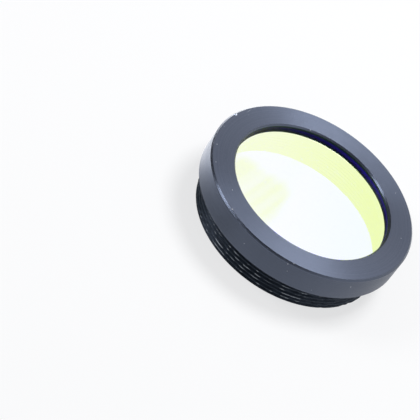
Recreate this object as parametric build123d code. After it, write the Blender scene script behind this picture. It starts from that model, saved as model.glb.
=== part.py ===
from build123d import *
import os
from math import cos, radians, sin

# A 1.25 inch screw-in light pollution filter: a turned and black anodised aluminium
# cell, a disc of coated glass, and the threaded ring that holds the glass in.
# Millimetres. Z is the optical axis. The cell stands on the end of its thread, at z = 0,
# with its front face up.

# Male thread that screws into an eyepiece barrel, drawn at its major diameter
thread_diameter = 28.5
thread_reach = 4.1  # from the shoulder down to the end of the thread
thread_lead = 0.2  # 45 degree chamfer at the thread's end
relief_width = 0.6  # groove that the thread runs out into, under the shoulder
relief_depth = 0.45

# Rim
shoulder_width = 1.35  # how far the rim stands out beyond the thread
rim_height = 3.9
rim_front_chamfer = 0.2
rim_back_chamfer = 0.1

# Rear bore, with the fine female thread drawn at its minor diameter
thread_wall = 1.52  # between the male thread's crests and the rear bore
rear_bore_chamfer = 0.8

# Glass and its seat
seat_step = 0.13  # from the rear bore in to the seat's wall
seat_clearance = 0.1  # between the glass's edge and the seat's wall
ledge_width = 0.65  # how far the lip covers the glass
glass_thickness = 1.1
glass_edge_chamfer = 0.12
lip_thickness = 0.85  # from the front face down to the glass
lip_chamfer = 0.25
bore_past_glass = 0.3  # how far the rear bore runs up past the back of the glass

# Retaining ring
ring_thread_clearance = 0.03
ring_thickness = 1.2
ring_width = 0.8
ring_edge_chamfer = 0.1
slot_width = 1.2  # two slots for a spanner, in the ring's rear face
slot_depth = 0.5

# Knock on the front outer edge
nick_angle = 167.0  # degrees from +X
nick_radius = 0.45
nick_outset = 0.1  # how far the dent's centre lies outside the edge and above it

thread_radius = thread_diameter / 2
rim_radius = thread_radius + shoulder_width
relief_radius = thread_radius - relief_depth
rear_bore_radius = thread_radius - thread_wall
seat_radius = rear_bore_radius - seat_step
glass_radius = seat_radius - seat_clearance
clear_radius = glass_radius - ledge_width

shoulder_z = thread_reach
face_z = shoulder_z + rim_height
glass_front_z = face_z - lip_thickness
glass_back_z = glass_front_z - glass_thickness
rear_bore_top_z = glass_back_z + bore_past_glass

ring_radius = rear_bore_radius - ring_thread_clearance
ring_bore_radius = ring_radius - ring_width
ring_back_z = glass_back_z - ring_thickness


def turned(points):
    """One solid of revolution about Z, from the (radius, z) corners of its section."""
    with BuildPart() as body:
        with BuildSketch(Plane.XZ):
            with BuildLine():
                Polyline(*points, close=True)
            make_face()
        revolve(axis=Axis.Z)
    return body.part


def filter_cell():
    """The cell, turned from one bar: lip, glass seat, rear bore, thread and rim, less the knock."""
    outside = [
        (rear_bore_radius + rear_bore_chamfer, 0),
        (thread_radius - thread_lead, 0),
        (thread_radius, thread_lead),
        (thread_radius, shoulder_z - relief_width),
        (relief_radius, shoulder_z - relief_width),
        (relief_radius, shoulder_z),
        (rim_radius - rim_back_chamfer, shoulder_z),
        (rim_radius, shoulder_z + rim_back_chamfer),
        (rim_radius, face_z - rim_front_chamfer),
        (rim_radius - rim_front_chamfer, face_z),
    ]
    inside = [
        (clear_radius + lip_chamfer, face_z),
        (clear_radius, face_z - lip_chamfer),
        (clear_radius, glass_front_z),
        (seat_radius, glass_front_z),
        (seat_radius, rear_bore_top_z),
        (rear_bore_radius, rear_bore_top_z),
        (rear_bore_radius, rear_bore_chamfer),
    ]
    nick_reach = rim_radius + nick_outset
    nick_centre = (
        nick_reach * cos(radians(nick_angle)),
        nick_reach * sin(radians(nick_angle)),
        face_z + nick_outset,
    )
    return turned(outside + inside) - Pos(*nick_centre) * Sphere(nick_radius)


def filter_glass():
    """The coated disc, with both of its edges chamfered. Its front lies on the lip's ledge."""
    chamfer_radius = glass_radius - glass_edge_chamfer
    return turned(
        [
            (0, glass_back_z),
            (chamfer_radius, glass_back_z),
            (glass_radius, glass_back_z + glass_edge_chamfer),
            (glass_radius, glass_front_z - glass_edge_chamfer),
            (chamfer_radius, glass_front_z),
            (0, glass_front_z),
        ]
    )


def retaining_ring():
    """The ring that is screwed up against the glass, with two spanner slots across its rear face."""
    ring = turned(
        [
            (ring_bore_radius + ring_edge_chamfer, ring_back_z),
            (ring_radius - ring_edge_chamfer, ring_back_z),
            (ring_radius, ring_back_z + ring_edge_chamfer),
            (ring_radius, glass_back_z - ring_edge_chamfer),
            (ring_radius - ring_edge_chamfer, glass_back_z),
            (ring_bore_radius, glass_back_z),
            (ring_bore_radius, ring_back_z + ring_edge_chamfer),
        ]
    )
    slots = Box(
        2 * rim_radius,
        slot_width,
        slot_depth,
        align=(Align.CENTER, Align.CENTER, Align.MIN),
    )
    return ring - Pos(0, 0, ring_back_z) * slots


os.makedirs("parts", exist_ok=True)
for name, piece in {
    "filter_cell": filter_cell(),
    "filter_glass": filter_glass(),
    "retaining_ring": retaining_ring(),
}.items():
    export_step(piece, f"parts/{name}.step")
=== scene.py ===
from math import pi, radians

import bmesh
import bpy
import numpy as np
from mathutils import Matrix, Vector


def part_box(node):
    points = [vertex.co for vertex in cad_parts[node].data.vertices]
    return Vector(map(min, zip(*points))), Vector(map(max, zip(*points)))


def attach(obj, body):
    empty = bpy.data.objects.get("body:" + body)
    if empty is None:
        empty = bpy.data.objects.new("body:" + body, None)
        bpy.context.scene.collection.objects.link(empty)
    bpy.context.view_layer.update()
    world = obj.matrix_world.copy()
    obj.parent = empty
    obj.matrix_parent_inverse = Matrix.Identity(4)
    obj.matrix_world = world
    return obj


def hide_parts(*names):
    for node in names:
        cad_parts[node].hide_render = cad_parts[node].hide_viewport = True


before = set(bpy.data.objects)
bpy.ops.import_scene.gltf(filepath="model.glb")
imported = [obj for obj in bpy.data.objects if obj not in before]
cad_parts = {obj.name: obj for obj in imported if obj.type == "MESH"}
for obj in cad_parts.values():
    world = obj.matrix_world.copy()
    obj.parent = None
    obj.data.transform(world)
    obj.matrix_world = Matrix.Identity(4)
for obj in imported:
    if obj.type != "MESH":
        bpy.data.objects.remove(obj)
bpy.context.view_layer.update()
MM = 0.001

# Filter cell
# One turned aluminium ring, dyed black by anodising. The rim stands over a fine male
# thread, the lip covers the edge of the glass, and a finer female thread is cut inside.
cell_high = np.array(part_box("filter_cell")[1]) / MM
glass_low, glass_high = (np.array(corner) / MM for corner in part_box("filter_glass"))
ring_low, ring_high = (np.array(corner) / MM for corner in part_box("retaining_ring"))
rim_radius = cell_high[0]
face_z = cell_high[2]
glass_radius = glass_high[0]
glass_front_z = glass_high[2]
glass_back_z = glass_low[2]
ring_radius = ring_high[0]

# Sizes are in millimetres, an angle in radians and an azimuth in degrees
rim_height = 3.9
shoulder_z = face_z - rim_height
relief_radius = 13.8
relief_width = 0.6
thread_top_z = shoulder_z - relief_width
thread_radius = 14.25
thread_pitch = 0.6
thread_depth = 0.37
thread_crest_share = 0.16
thread_root_share = 0.24
thread_wear = 0.18
thread_lead = 0.2
thread_start_angle = radians(236)
front_chamfer = 0.25
back_chamfer = 0.1
ledge_width = 0.65
clear_radius = glass_radius - ledge_width
lip_chamfer = 0.25
seat_clearance = 0.1
seat_radius = glass_radius + seat_clearance
bore_past_glass = 0.3
rear_bore_top_z = glass_back_z + bore_past_glass
female_clearance = 0.03
female_radius = ring_radius + female_clearance
female_pitch = 0.5
female_depth = 0.27
female_flat_share = 0.2
female_runout = 0.15
female_top_z = rear_bore_top_z - female_runout
rear_chamfer = 0.8
edge_radius = 0.03
nick_azimuth = 167
nick_angle = radians(nick_azimuth)
nick_radius = 0.3
nick_inset = 0.13
nick_rise = 0.15


def softened(corners, radius, steps=3):
    """An open section with each inner corner rounded. The arc of a corner runs between the
    two tangent points, each radius * tan(half the turn) from the corner, or half of the shorter
    side where there is no more room."""
    rows = [np.array(corners[0], float)]
    for before, corner, after in zip(corners, corners[1:], corners[2:]):
        corner = np.array(corner, float)
        back, ahead = np.array(before) - corner, np.array(after) - corner
        room = min(np.hypot(*back), np.hypot(*ahead)) / 2
        back, ahead = back / np.hypot(*back), ahead / np.hypot(*ahead)
        half = np.arccos(np.clip(back @ ahead, -1, 1)) / 2
        reach = min(radius / np.tan(half), room)
        centre = corner + (back + ahead) / np.hypot(*(back + ahead)) * reach / np.cos(half)
        first, last = corner + back * reach - centre, corner + ahead * reach - centre
        for t in np.linspace(0, 1, steps + 1):
            spoke = first * (1 - t) + last * t
            rows.append(centre + spoke / np.hypot(*spoke) * np.hypot(*first))
    return np.array(rows + [np.array(corners[-1], float)])


def plain_rows(section, angles):
    """Radius and height of a turned surface: the section's own, the same at every angle."""
    ones = np.ones_like(angles)
    return section[:, :1] * ones, section[:, 1:] * ones


def thread_rows(low, high, pitch, steps, start, form, angles):
    """Radius and height of a right-handed thread whose crest rises through low at the start angle.
    A row climbs one pitch in each turn, z = low + (row's place + (angle - start) / one turn) * pitch,
    held between low and high. The radius is form(z, crests, turned_by). The whole part of crests is
    the number of the crest below, and the rest is the share of the pitch above that crest. turned_by
    is the angle from the start, in turns."""
    turns = int(np.ceil((high - low) / pitch)) + 1
    climb = (np.arange(turns + 1)[:, None] + steps).ravel()
    turned_by = (angles - start) / (2 * pi)
    z = np.clip(low + (climb[:, None] - 1 + turned_by) * pitch, low, high)
    return form(z, (z - low) / pitch - turned_by, turned_by), z


def trapezium(share, crest, root, soft=0.07):
    """Thread form from 1 on the crest to 0 on the root: crest and root are the flats' shares of the
    pitch, each centred, the crest on share 0, with straight flanks between. As clip(t, 0, 1) is
    (|t| - |t - 1| + 1) / 2, the corners are rounded by taking sqrt(t * t + soft * soft) for |t|."""
    off = np.abs((share + 0.5) % 1 - 0.5)
    flank = (0.5 - root / 2 - off) / (0.5 - root / 2 - crest / 2)
    return (np.hypot(flank, soft) - np.hypot(flank - 1, soft) + 1) / 2


def knocks(along, seed):
    """A random run of dents, from 0 to 1 and mostly shallow, two to each unit of along: the squares
    of random heights, joined by straight lines."""
    heights = np.random.default_rng(seed).random(1200) ** 2
    return np.interp(along * 2, np.arange(heights.size), heights)


def male_form(z, crests, turned_by):
    """The crest's radius less the thread's depth in the roots, cut off by the lead chamfer's cone.
    Knocks, one every half millimetre along the helix, take up to thread_wear off the crest."""
    raised = trapezium(crests, thread_crest_share, thread_root_share)
    nearest_crest = np.floor(crests + 0.5)
    along = (nearest_crest + turned_by + 2) * 2 * pi * thread_radius
    worn = thread_wear * knocks(along, seed=5)
    cut = thread_radius - thread_depth + (thread_depth - worn) * raised
    return np.minimum(cut, thread_radius - thread_lead + z)


def female_form(z, crests, turned_by):
    """The minor radius plus the thread's depth in its roots, opened by the rear chamfer's cone and
    fading out over the last turn."""
    fade = np.clip((female_top_z - z) / female_pitch, 0, 1)
    raised = trapezium(crests, female_flat_share, female_flat_share)
    cut = female_radius + female_depth * fade * (1 - raised)
    return np.maximum(cut, female_radius + rear_chamfer - z)


def surface(name, radius, z, angles, shape=None):
    """A closed mesh from rows of radius and height by columns of angle:
    (radius cos(angle), radius sin(angle), z). Its UV map runs round the axis and along the rows.
    shape(points) may move the points. Doubles are merged, which closes the seam."""
    points = np.stack([radius * np.cos(angles), radius * np.sin(angles), z], -1)
    if shape:
        points = shape(points)
    rows, columns = z.shape
    first = (np.arange(rows - 1)[:, None] * columns + np.arange(columns - 1)).ravel()
    faces = np.stack([first, first + 1, first + columns + 1, first + columns], 1)
    mesh = bpy.data.meshes.new(name)
    mesh.from_pydata((points.reshape(-1, 3) * MM).tolist(), [], faces.tolist())
    along = np.hypot(np.diff(radius, axis=0), np.diff(z, axis=0)).mean(1)
    along = np.concatenate([[0], np.cumsum(along)]) / along.sum()
    around = np.broadcast_to(angles, z.shape).mean(0) / (2 * pi)
    places = np.stack(np.meshgrid(around, along), -1).reshape(-1, 2)
    corners = np.zeros(len(mesh.loops), np.int32)
    mesh.loops.foreach_get("vertex_index", corners)
    mesh.uv_layers.new(name="OFBake").data.foreach_set("uv", places[corners].ravel())
    return finished(mesh)


def finished(mesh):
    """An object of the mesh, with doubles merged, faces turned outwards and every edge smoothed
    across which the surface turns by less than 35 degrees."""
    work = bmesh.new()
    work.from_mesh(mesh)
    bmesh.ops.remove_doubles(work, verts=work.verts, dist=2e-4 * MM)
    bmesh.ops.dissolve_degenerate(work, edges=work.edges, dist=1e-4 * MM)
    bmesh.ops.recalc_face_normals(work, faces=work.faces)
    work.to_mesh(mesh)
    work.free()
    mesh.shade_smooth()
    mesh.set_sharp_from_angle(angle=radians(35))
    piece = bpy.data.objects.new(mesh.name, mesh)
    bpy.context.scene.collection.objects.link(piece)
    return piece


def denser_at(angle, reach, count, fine):
    """Angles once round, count of them even, with fine more within reach of one angle."""
    even = np.linspace(0, 2 * pi, count + 1)
    extra = np.linspace(angle - reach, angle + reach, fine)
    return np.unique(np.concatenate([even, extra]).round(9))


def nicked(points):
    """Presses a dent into the front edge: a point within nick_radius of the dent's centre moves
    straight away from that centre, to the sphere of nick_radius."""
    reach = rim_radius - nick_inset
    centre = np.array([reach * np.cos(nick_angle), reach * np.sin(nick_angle), face_z + nick_rise])
    away = points - centre
    far = np.linalg.norm(away, axis=-1, keepdims=True)
    return np.where(far < nick_radius, centre + away / far * nick_radius, points)


def with_stations(section, corner, before, after, count):
    """The section with count more points, evenly spaced along its length from before the point
    nearest to corner to after it."""
    length = np.concatenate([[0], np.cumsum(np.hypot(*np.diff(section, axis=0).T))])
    middle = length[np.argmin(np.hypot(*(section - corner).T))]
    stations = np.union1d(length, np.linspace(middle - before, middle + after, count))
    return np.stack([np.interp(stations, length, values) for values in section.T], 1)


angles = denser_at(nick_angle, radians(1.6), 440, 30)
section = softened(
    [
        (thread_radius, thread_top_z),
        (relief_radius, thread_top_z),
        (relief_radius, shoulder_z),
        (rim_radius - back_chamfer, shoulder_z),
        (rim_radius, shoulder_z + back_chamfer),
        (rim_radius, face_z - front_chamfer),
        (rim_radius - front_chamfer, face_z),
        (clear_radius + lip_chamfer, face_z),
        (clear_radius, face_z - lip_chamfer),
        (clear_radius, glass_front_z),
        (seat_radius, glass_front_z),
        (seat_radius, rear_bore_top_z),
        (female_radius, rear_bore_top_z),
        (female_radius, female_top_z),
    ],
    edge_radius,
)[1:]
front_corner = (rim_radius - front_chamfer, face_z)
section = with_stations(section, front_corner, 0.8, 0.5, 18)
male_steps = (0.04, 0.1, 0.14, 0.34, 0.5, 0.66, 0.86, 0.9, 0.96)
female_steps = (0.1, 0.4, 0.6, 0.9)
male = thread_rows(
    0, thread_top_z, thread_pitch, male_steps, thread_start_angle, male_form, angles
)
plain = plain_rows(section, angles)
female = thread_rows(0, female_top_z, female_pitch, female_steps, 0, female_form, angles)
radius, z = (
    np.concatenate([up, level, down[::-1], up[:1]]) for up, level, down in zip(male, plain, female)
)
cell = surface("cell", radius, z, angles, nicked)


class Socket:
    """A socket of a node tree. Arithmetic on it adds Math nodes, and node() adds any other."""

    def __init__(self, tree, socket=None):
        self.tree = tree
        self.socket = socket

    def node(self, kind, settings, inputs, output=0):
        """Adds a node: its settings first, then the value or link of each input. Returns the named
        output, a list of outputs where output is a list, and nothing of a node without any."""
        added = self.tree.nodes.new("ShaderNode" + kind)
        for name, value in settings.items():
            setattr(added, name, value)
        for name, value in inputs.items():
            if isinstance(value, Socket):
                self.tree.links.new(value.socket, added.inputs[name])
            else:
                added.inputs[name].default_value = value
        if isinstance(output, list):
            return [Socket(self.tree, added.outputs[name]) for name in output]
        return Socket(self.tree, added.outputs[output]) if added.outputs else None

    def maths(self, operation, *values):
        """A Math node on sockets or numbers."""
        return self.node("Math", {"operation": operation}, dict(enumerate(values)))

    def __add__(self, other):
        return self.maths("ADD", self, other)

    def __sub__(self, other):
        return self.maths("SUBTRACT", self, other)

    def __rsub__(self, other):
        return self.maths("SUBTRACT", other, self)

    def __mul__(self, other):
        return self.maths("MULTIPLY", self, other)

    def __pow__(self, other):
        return self.maths("POWER", self, other)

    def __abs__(self):
        return self.maths("ABSOLUTE", self)

    __radd__ = __add__
    __rmul__ = __mul__


def rising(value, low, high):
    """0 where value is under low, 1 where it is over high, and a smooth step between."""
    inputs = {"Value": value, "From Min": low, "From Max": high}
    return value.node("MapRange", {"interpolation_type": "SMOOTHSTEP"}, inputs)


def near(value, middle, reach):
    """1 where value is at middle, falling smoothly to 0 at reach on both sides."""
    return 1 - rising(abs(value - middle), 0, reach)


def tinted(share, first, second):
    """The first colour where share is 0, and the second where it is 1."""
    return share.node("Mix", {"data_type": "RGBA"}, {0: share, 6: first, 7: second}, 2)


def noise(at, scale, detail=2.0, roughness=0.5, dimensions="3D"):
    """Blender's noise, from about 0.2 to 0.8, with scale features to each unit of at."""
    inputs = {"W" if dimensions == "1D" else "Vector": at}
    inputs |= {"Scale": scale, "Detail": detail, "Roughness": roughness}
    return at.node("TexNoise", {"noise_dimensions": dimensions}, inputs)


def material(name):
    """An empty material, and a start for its nodes."""
    made = bpy.data.materials.new(name)
    made.use_nodes = True
    made.node_tree.nodes.clear()
    return made, Socket(made.node_tree)


# Finish of every anodised piece: features to each millimetre, and heights in millimetres
marks_per_mm = 7
lines_per_mm = 4.2
grain_per_mm = 12
grain_height = 0.005
dust_height = 0.03
bare_metal_and_glint = (0.82, 0.88, 0.97, 1)
dust_grey = (0.75, 0.76, 0.8, 1)
gloss_tint = (0.60, 0.71, 1.0, 1)


def anodised(name, dye_and_painted_light, marks_height, roughness, gloss, laid_bare_and_glint, dusty):
    """Turned aluminium under dyed anodising. Tool marks run round the axis, as noise of radius - z,
    so that they are rings on a flat face and lines round a wall. The functions for colour, roughness,
    bare metal and dust take the place in millimetres, as x, y, z, radius and angle in degrees, and
    the colour's function takes the paler lines of the tool too. They give the colour under the gloss,
    with painted shade and painted light on some pieces, the roughness, and where bare metal, a
    painted glint and dust show. The bare metal's function is None where the metal shows nowhere."""
    made, start = material(name)
    place = start.node("TexCoord", {}, {}, "Object")
    place = start.node("VectorMath", {"operation": "SCALE"}, {0: place, "Scale": 1 / MM})
    x, y, z = start.node("SeparateXYZ", {}, {0: place}, ["X", "Y", "Z"])
    radius = (x * x + y * y) ** 0.5
    angle = y.maths("ARCTAN2", y, x) * (180 / pi)
    at = {"place": place, "x": x, "y": y, "z": z, "radius": radius, "angle": angle}
    marks = noise(radius - z, marks_per_mm, 4, 0.75, "1D")
    lines = rising(noise(radius - z, lines_per_mm, 3, 0.8, "1D"), 0.42, 0.62)
    grain = noise(place, grain_per_mm, 2, 0.6)
    base = dye_and_painted_light(lines=lines, **at)
    bare_and_glint = 0
    if laid_bare_and_glint:
        # Bare metal, and on the cell a painted glint laid on as bare metal
        bare_and_glint = laid_bare_and_glint(**at)
        base = tinted(bare_and_glint, base, bare_metal_and_glint)
    dust = dusty(**at)
    base = tinted(dust, base, dust_grey)
    height = (marks + lines * 0.3) * marks_height + grain * grain_height + dust * dust_height
    shader = start.node(
        "BsdfPrincipled",
        {},
        {
            "Base Color": base,
            "Metallic": bare_and_glint * (1 - dust),
            "Roughness": roughness(**at) + lines * 0.1 + grain * 0.06 - bare_and_glint * 0.15,
            "IOR": 2.0,
            "Specular IOR Level": gloss,
            "Specular Tint": gloss_tint,
            "Anisotropic": 0.88,
            "Anisotropic Rotation": 0.25,
            "Normal": start.node("Bump", {}, {"Distance": MM, "Height": height}),
        },
    )
    start.node("OutputMaterial", {}, {"Surface": shader})
    return made


def from_point(at, azimuth, away, height):
    """Distance from a point given by its azimuth, its distance from the axis and its height."""
    middle = (away * np.cos(radians(azimuth)), away * np.sin(radians(azimuth)), height)
    inputs = {0: at, 1: [float(part) for part in middle]}
    return at.node("VectorMath", {"operation": "DISTANCE"}, inputs, "Value")


def front_chamfer_share(radius, z):
    """1 on the front chamfer, and 0 off it."""
    return near(radius + z, rim_radius + face_z - front_chamfer, 0.16)


def back_chamfer_share(radius, z):
    """1 on the rim's back chamfer, and 0 off it."""
    return near(radius - z, rim_radius - shoulder_z - back_chamfer, 0.1)


def lip_chamfer_share(radius, z):
    """1 on the lip's chamfer, and 0 off it."""
    on_cone = near(radius - z, clear_radius + lip_chamfer - face_z, 0.06)
    return on_cone * rising(z, face_z - lip_chamfer - 0.05, face_z - lip_chamfer)


def cell_bare_and_painted_glint(place, x, y, z, radius, angle):
    """The knock's dent with its burr, a hair scratch on the face, and a painted highlight along the
    lower edge of the rim, laid on as bare metal."""
    from_dent = from_point(place, nick_azimuth, rim_radius - 0.22, face_z + 0.08)
    dent = 1 - rising(from_dent, 0.25, 0.31)
    # Painted highlight on the rim's back chamfer, in broken patches
    painted_glint = back_chamfer_share(radius, z) * near(angle, -123, 20)
    painted_glint = painted_glint * rising(noise(place, 1.6, 3, 0.7), 0.36, 0.6)
    scratch_azimuth, scratch_radius = 157, 15.0
    across = (radius - scratch_radius) + (angle - scratch_azimuth) * 0.06
    scratch = near(across, 0, 0.05) * near(angle, scratch_azimuth, 3.2)
    scratch = scratch * rising(z, face_z - 0.02, face_z)
    return dent + painted_glint * 0.3 + scratch * 0.3


def thread_laid_bare(place, x, y, z, radius, angle):
    """Broken bright lines along the crests, most of them on the side that gets handled."""
    handled = 0.25 + 0.75 * near(angle, -92, 100)
    crest = rising(radius, thread_radius - 0.09, thread_radius - 0.03)
    return crest * rising(noise(place, 0.8, 4, 0.65) * handled, 0.36, 0.50) * 0.4


def specks(place, apart, size):
    """A fleck wherever a point of Blender's Voronoi cells, about apart across, lies within size of
    the surface."""
    inputs = {"Vector": place, "Scale": 1 / apart}
    near_point = place.node("TexVoronoi", {}, inputs, "Distance") * apart
    return 1 - rising(near_point, size * 0.6, size)


# Flecks of dust that show: azimuth, distance from the axis, depth below the face, and radius
flecks = (
    (181, 15.1, 0, 0.05),
    (197, 14.9, 0, 0.07),
    (210.5, 14.9, 0, 0.06),
    (229.6, 13.5, 0, 0.07),
    (242, 15.3, 0, 0.1),
    (12, 13.9, 0, 0.06),
    (48, 14.2, 0, 0.06),
    (281, rim_radius, 0.45, 0.09),
    (258, rim_radius, 2.1, 0.05),
    (299, rim_radius, 3.1, 0.05),
    (318, rim_radius, 1.3, 0.1),
)


def cell_dusty(place, x, y, z, radius, angle):
    """The flecks that show, and a few more anywhere."""
    dust = specks(place, 2.6, 0.07)
    for azimuth, away, depth, size in flecks:
        dust = dust + 1 - rising(from_point(place, azimuth, away, face_z - depth), size * 0.6, size)
    return dust.maths("MINIMUM", dust, 1)


def few_flecks(place, x, y, z, radius, angle):
    """A few flecks of dust."""
    return specks(place, 1.9, 0.06)


def cell_dye_and_painted_shade(place, x, y, z, radius, angle, lines):
    """Blue-black with a fine mottle, paler along the tool's lines, more neutral on the rim's wall,
    and with painted shade making it blackest on the chamfers of the rim's front and the lip."""
    dark, pale = (0.006, 0.009, 0.018, 1), (0.020, 0.025, 0.040, 1)
    along_lines, on_wall = (0.045, 0.051, 0.072, 1), (0.006, 0.008, 0.004, 1)
    painted_shade_on_chamfers = (0.003, 0.004, 0.006, 1)
    wall_top_z = face_z - front_chamfer
    base = tinted(rising(noise(place, 4.5, 3, 0.7), 0.35, 0.65), dark, pale)
    base = tinted(lines * 0.75, base, along_lines)
    walled = 1 - rising(z, wall_top_z - 0.02, wall_top_z)
    base = tinted(walled * 0.5, base, on_wall)
    # Painted shade: the chamfers of the rim's front and the lip are darkened
    chamfered = front_chamfer_share(radius, z) + lip_chamfer_share(radius, z)
    return tinted(chamfered, base, painted_shade_on_chamfers)


def cell_roughness(place, x, y, z, radius, angle):
    """Satin on the face, finer on the rim and nearly smooth on its chamfers."""
    chamfered = front_chamfer_share(radius, z) + back_chamfer_share(radius, z)
    chamfered = chamfered + lip_chamfer_share(radius, z)
    return 0.29 + 0.14 * rising(z, face_z - 0.03, face_z) - 0.15 * chamfered


def thread_dye_and_painted_shade(place, x, y, z, radius, angle, lines):
    """Black, with painted shade making it blacker in the roots."""
    shaded_roots, on_crests = (0.004, 0.008, 0.011, 1), (0.018, 0.027, 0.038, 1)
    # Painted shade in the roots, fading out towards the crests
    return tinted(rising(radius, thread_radius - 0.3, thread_radius - 0.05), shaded_roots, on_crests)


def bore_dye_and_painted_light(place, x, y, z, radius, angle, lines):
    """Matt black, with the coating's light painted on: painted green light near the lip's chamfer,
    and painted violet light next to the glass on the far side."""
    black, painted_green_light, painted_violet_light = (0.003, 0.004, 0.008, 1), (0.01, 0.036, 0.016, 1), (0.018, 0.005, 0.36, 1)
    # Painted green light near the lip's chamfer
    base = tinted(rising(z, face_z - 0.55, face_z - 0.3), black, painted_green_light)
    # Painted violet light next to the glass, on the far side only
    violet_light_beside_glass = near(z, glass_front_z, 0.48) * rising(z, glass_front_z - 0.2, glass_front_z)
    return tinted(violet_light_beside_glass * near(angle, 62, 100), base, painted_violet_light)


def satin(place, x, y, z, radius, angle):
    """The same satin all over."""
    return 0.45


cell_marks_height = 0.012
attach(cell, "root")
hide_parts("filter_cell")
for name, gloss, dye_and_painted_light, roughness, laid_bare_and_glint, dusty in (
    ("cell_finish_with_painted_light", 0.6, cell_dye_and_painted_shade, cell_roughness, cell_bare_and_painted_glint, cell_dusty),
    ("thread_finish_with_painted_shade", 0.2, thread_dye_and_painted_shade, satin, thread_laid_bare, few_flecks),
    ("bore_finish_with_painted_light", 0.08, bore_dye_and_painted_light, satin, None, few_flecks),
):
    finish = anodised(name, dye_and_painted_light, cell_marks_height, roughness, gloss, laid_bare_and_glint, dusty)
    cell.data.materials.append(finish)
# The male thread and its groove take the second finish, and everything inside takes the third
middle = np.empty(len(cell.data.polygons) * 3, np.float32)
cell.data.polygons.foreach_get("center", middle)
away = np.hypot(middle[0::3], middle[1::3]) / MM
height = middle[2::3] / MM
threaded = (away > relief_radius - 0.1) & (height < shoulder_z - 0.02) & (away < thread_radius + 0.1)
bored = (away < clear_radius + 0.01) | (away < relief_radius - 0.1) & (height < glass_front_z + 0.1)
cell.data.polygons.foreach_set("material_index", np.where(bored, 2, threaded).astype(np.int32))

# Filter glass
# A flat disc of clear glass with both edges ground. Its front carries the interference coating,
# which mirrors yellow-green and lets deep blue through. It lies against the lip's ledge.
glass_edge_chamfer = 0.12
mirrored_left = (0.93, 0.99, 0.70, 1)
mirrored_right = (0.86, 0.98, 0.46, 1)
let_through = (0.06, 0.0, 0.52, 1)
glass_ior = 1.52
disc_row_radius = 6

disc_angles = np.linspace(0, 2 * pi, 193)
disc_section = np.array(
    [
        (0, glass_back_z),
        (disc_row_radius, glass_back_z),
        (glass_radius - glass_edge_chamfer, glass_back_z),
        (glass_radius, glass_back_z + glass_edge_chamfer),
        (glass_radius, glass_front_z - glass_edge_chamfer),
        (glass_radius - glass_edge_chamfer, glass_front_z),
        (disc_row_radius, glass_front_z),
        (0, glass_front_z),
    ]
)
glass = surface("glass", *plain_rows(disc_section, disc_angles), disc_angles)


def glass_material(name, mirrors, through):
    """Glass from a mirroring and a bending shader, each with its own share of every colour. The
    mirror's colour drifts from one to another across the disc. A shadow ray passes straight
    through, so that coloured light falls below."""
    made, start = material(name)
    place = start.node("TexCoord", {}, {}, "Object")
    x, y = start.node("SeparateXYZ", {}, {0: place}, ["X", "Y"])
    drift = rising(x + 0.3 * y, -12 * MM, 13 * MM)
    left, right = (
        start.node("BsdfAnisotropic", {}, {"Color": colour, "Roughness": 0.02}) for colour in mirrors
    )
    back = start.node("MixShader", {}, {0: drift, 1: left, 2: right})
    bent = start.node("BsdfRefraction", {}, {"Color": through, "Roughness": 0, "IOR": glass_ior})
    both = start.node("AddShader", {}, {0: bent, 1: back})
    straight = start.node("BsdfTransparent", {}, {"Color": through})
    shadow = start.node("LightPath", {}, {}, "Is Shadow Ray")
    shader = start.node("MixShader", {}, {0: shadow, 1: both, 2: straight})
    start.node("OutputMaterial", {}, {"Surface": shader})
    return made


plain_mirror = (0.04, 0.04, 0.04, 1)
plain_through = (0.96, 0.96, 0.96, 1)
body = glass_material("glass_body", (plain_mirror, plain_mirror), plain_through)
coat = glass_material("coated_front", (mirrored_left, mirrored_right), let_through)
glass.data.materials.append(body)
glass.data.materials.append(coat)
# The side that points up is coated
upward = np.empty(len(glass.data.polygons) * 3, np.float32)
glass.data.polygons.foreach_get("normal", upward)
glass.data.polygons.foreach_set("material_index", (upward[2::3] > 0.9).astype(np.int32))
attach(glass, "root")
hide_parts("filter_glass")

# Retaining ring
# A thin aluminium ring, turned, slotted and dyed black. It screws up the fine thread inside the
# cell until it holds the glass, turned by a spanner in its two slots.
ring_back_z = ring_low[2]
ring_middle_z = (ring_back_z + glass_back_z) / 2
ring_width = 0.8
ring_bore_radius = ring_radius - ring_width
ring_chamfer = 0.1
slot_width = 1.2
slot_depth = 0.5
ring_marks_height = 0.006
ring_gloss = 0.4

ring_section = softened(
    [
        (ring_bore_radius, ring_middle_z),
        (ring_bore_radius, ring_back_z + ring_chamfer),
        (ring_bore_radius + ring_chamfer, ring_back_z),
        (ring_radius - ring_chamfer, ring_back_z),
        (ring_radius, ring_back_z + ring_chamfer),
        (ring_radius, glass_back_z - ring_chamfer),
        (ring_radius - ring_chamfer, glass_back_z),
        (ring_bore_radius, glass_back_z),
        (ring_bore_radius, ring_middle_z),
    ],
    edge_radius,
)


def slotted_rows(section, width, floor_z, between, across):
    """Radius, height and angle of a turned ring with two slots across its underside. A column is at
    a share of the way from one slot's wall to the next, or at its own y inside a slot, where z is
    held up to the slot's floor. Each wall has two columns, one for the ring and one for the slot."""
    wall = np.arcsin(width / 2 / section[:, :1])
    shares = np.linspace(0, 1, between)
    solid = wall + (pi - 2 * wall) * shares
    inside = pi + np.arcsin(np.linspace(-width / 2, width / 2, across) / section[:, :1])
    half = np.hstack([solid, inside])
    radius = section[:, :1] + 0 * half
    z = section[:, 1:] + 0 * solid
    cut = np.maximum(section[:, 1:], floor_z) + 0 * inside
    return (
        np.hstack([radius, radius, radius[:, :1]]),
        np.hstack([z, cut, z, cut, z[:, :1]]),
        np.hstack([half, half + pi, half[:, :1] + 2 * pi]),
    )


slot_floor_z = ring_back_z + slot_depth
ring = surface("ring", *slotted_rows(ring_section, slot_width, slot_floor_z, between=90, across=9))


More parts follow.
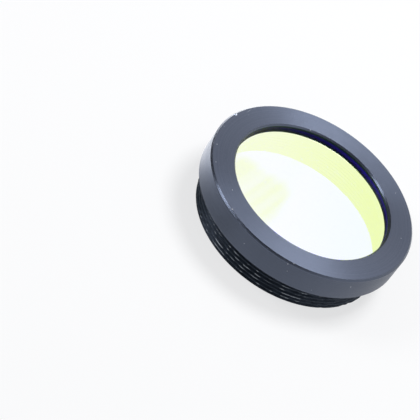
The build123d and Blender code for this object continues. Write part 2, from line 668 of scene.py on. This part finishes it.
def ring_laid_bare(place, x, y, z, radius, angle):
    """Bright corners where a spanner has rubbed the slots."""
    corner = near(abs(y), slot_width / 2, 0.07) * near(z, ring_back_z, 0.12)
    return corner * rising(noise(place, 2.5, 3, 0.7), 0.45, 0.6)


def ring_dye(place, x, y, z, radius, angle, lines):
    """Black, a little uneven."""
    uneven = rising(noise(place, 0.5), 0.35, 0.65)
    return tinted(uneven, (0.010, 0.011, 0.014, 1), (0.016, 0.017, 0.020, 1))


finish = anodised(
    "ring_finish", ring_dye, ring_marks_height, satin, ring_gloss, ring_laid_bare, few_flecks
)
ring.data.materials.append(finish)
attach(ring, "root")
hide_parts("retaining_ring")

# Floor
# A white floor that the cell lies on. Part of its white is its own light, so that the shadows stay
# soft. For gloss its light is painted brighter on the left and dimmer in one spot at the front left,
# through the glass it carries a painted soft streaked shade on the left, and from below it isn't
# there.
floor = bpy.data.objects.new("floor", bpy.data.meshes.new("floor"))
floor.data.from_pydata([(-1, -1, 0), (1, -1, 0), (1, 1, 0), (-1, 1, 0)], [], [(0, 1, 2, 3)])
bpy.context.scene.collection.objects.link(floor)
floor_finish, start = material("pale_floor")
camera_ray, glossy_ray, through = start.node(
    "LightPath", {}, {}, ["Is Camera Ray", "Is Glossy Ray", "Is Transmission Ray"]
)
diffuse = start.node("BsdfDiffuse", {}, {"Color": (0.95, 0.955, 0.97, 1)})
place = start.node("TexCoord", {}, {}, "Object")
x, y = start.node("SeparateXYZ", {}, {0: place}, ["X", "Y"])
# Painted light: brighter on the left and a dim spot at the front left for gloss, and a streaked shade
# through the glass
left = rising(y - x, 13 * MM, 21 * MM)
painted_dim_spot = 1 - rising(from_point(place, 223, 22 * MM, 0), 3 * MM, 12 * MM)
streaks = rising(noise(x - 0.2 * y, 0.33 / MM, 1, 0.5, "1D"), 0.42, 0.6)
shade = (1 - rising(x + 0.1 * abs(y), -3 * MM, -0.5 * MM)) * (0.7 + 0.3 * streaks)
shade = shade * (1 - 0.6 * rising(y, 5 * MM, 8 * MM))
own = through.maths("MAXIMUM", through, 0.7 * camera_ray + glossy_ray)
mirrored = glossy_ray * (1 - through)
strength = 1 + (2.1 * left - 0.45 * painted_dim_spot - 0.1) * mirrored - 0.9 * shade * through
glow = start.node("VectorMath", {"operation": "SCALE"}, {0: (0.99, 0.993, 1.0), "Scale": strength})
lit = start.node("Emission", {}, {"Color": glow})
seen = start.node("MixShader", {}, {0: own, 1: diffuse, 2: lit})
below = start.node("NewGeometry", {}, {}, "Backfacing")
clear = start.node("BsdfTransparent", {}, {})
shader = start.node("MixShader", {}, {0: below, 1: seen, 2: clear})
start.node("OutputMaterial", {}, {"Surface": shader})
floor.data.materials.append(floor_finish)

# Light
# White all round, as the camera and the glass see it. Gloss mirrors it with a dim side, where the
# camera stands, and a dark card at the left. A soft lamp nearly overhead makes the bow of light on
# the turned face, and another stands at the left.
world = bpy.data.worlds.new("studio")
bpy.context.scene.world = world
world.use_nodes = True
world.node_tree.nodes.clear()
sky = Socket(world.node_tree)
direction = sky.node("TexCoord", {}, {}, "Generated")
dim_side = (0.0, -0.79, 0.61)
dark_card = (-0.84, 0.45, 0.28)
toward_dim, toward_card = (
    sky.node("VectorMath", {"operation": "DOT_PRODUCT"}, {0: direction, 1: way}, "Value")
    for way in (dim_side, dark_card)
)
camera_ray, glossy_ray, transmission_ray = sky.node(
    "LightPath", {}, {}, ["Is Camera Ray", "Is Glossy Ray", "Is Transmission Ray"]
)
seen = camera_ray.maths("MAXIMUM", camera_ray, transmission_ray)
glossy_level = 1 - 0.85 * rising(toward_dim, 0.5, 0.97)
glossy_level = glossy_level * (1 - 0.8 * rising(toward_card, 0.8, 0.93))
diffuse_level = 0.25
level = seen + (1 - seen) * (glossy_ray * glossy_level + (1 - glossy_ray) * diffuse_level)
background = sky.node("Background", {}, {"Color": (1, 1, 1, 1), "Strength": level})
sky.node("OutputWorld", {}, {"Surface": background})

for name, toward, away, width, energy in (
    ("behind", (0.104, 0.33, 0.938), 0.35, 0.15, 0.85),
    ("left", (-0.74, -0.25, 0.62), 0.4, 0.16, 0.34),
):
    lamp = bpy.data.objects.new(name, bpy.data.lights.new(name, "AREA"))
    lamp.data.shape = "DISK"
    lamp.data.size = width
    lamp.data.energy = energy
    lamp.location = Vector(toward) * away
    lamp.rotation_euler = Vector(toward).to_track_quat("Z", "Y").to_euler()
    bpy.context.scene.collection.objects.link(lamp)

# Camera
# Placed by the photograph: where the middle of the cell's face lies in the picture, how far off
# it is, and which way the cell's axis points from there, in the camera's right, up and back.
focal_px = 2067
image_px = 420
face_centre_px = (313.7, 190.4)
face_distance = 0.2833
axis_in_picture = Vector((0.4338, 0.6288, 0.6454)).normalized()
face_centre = Vector((face_centre_px[0] - image_px / 2, image_px / 2 - face_centre_px[1], -focal_px))
face_centre = face_centre.normalized() * face_distance
nearest = (-face_centre - axis_in_picture * axis_in_picture.dot(-face_centre)).normalized()
turn = Matrix((axis_in_picture.cross(nearest), -nearest, axis_in_picture))
camera = bpy.data.objects.new("camera", bpy.data.cameras.new("camera"))
camera.data.sensor_width = 36
camera.data.lens = focal_px / image_px * camera.data.sensor_width
standpoint = Vector((0, 0, face_z * MM)) - turn @ face_centre
camera.matrix_world = Matrix.Translation(standpoint) @ turn.to_4x4()
bpy.context.scene.collection.objects.link(camera)
bpy.context.scene.camera = camera

bpy.context.scene.view_settings.view_transform = "Standard"
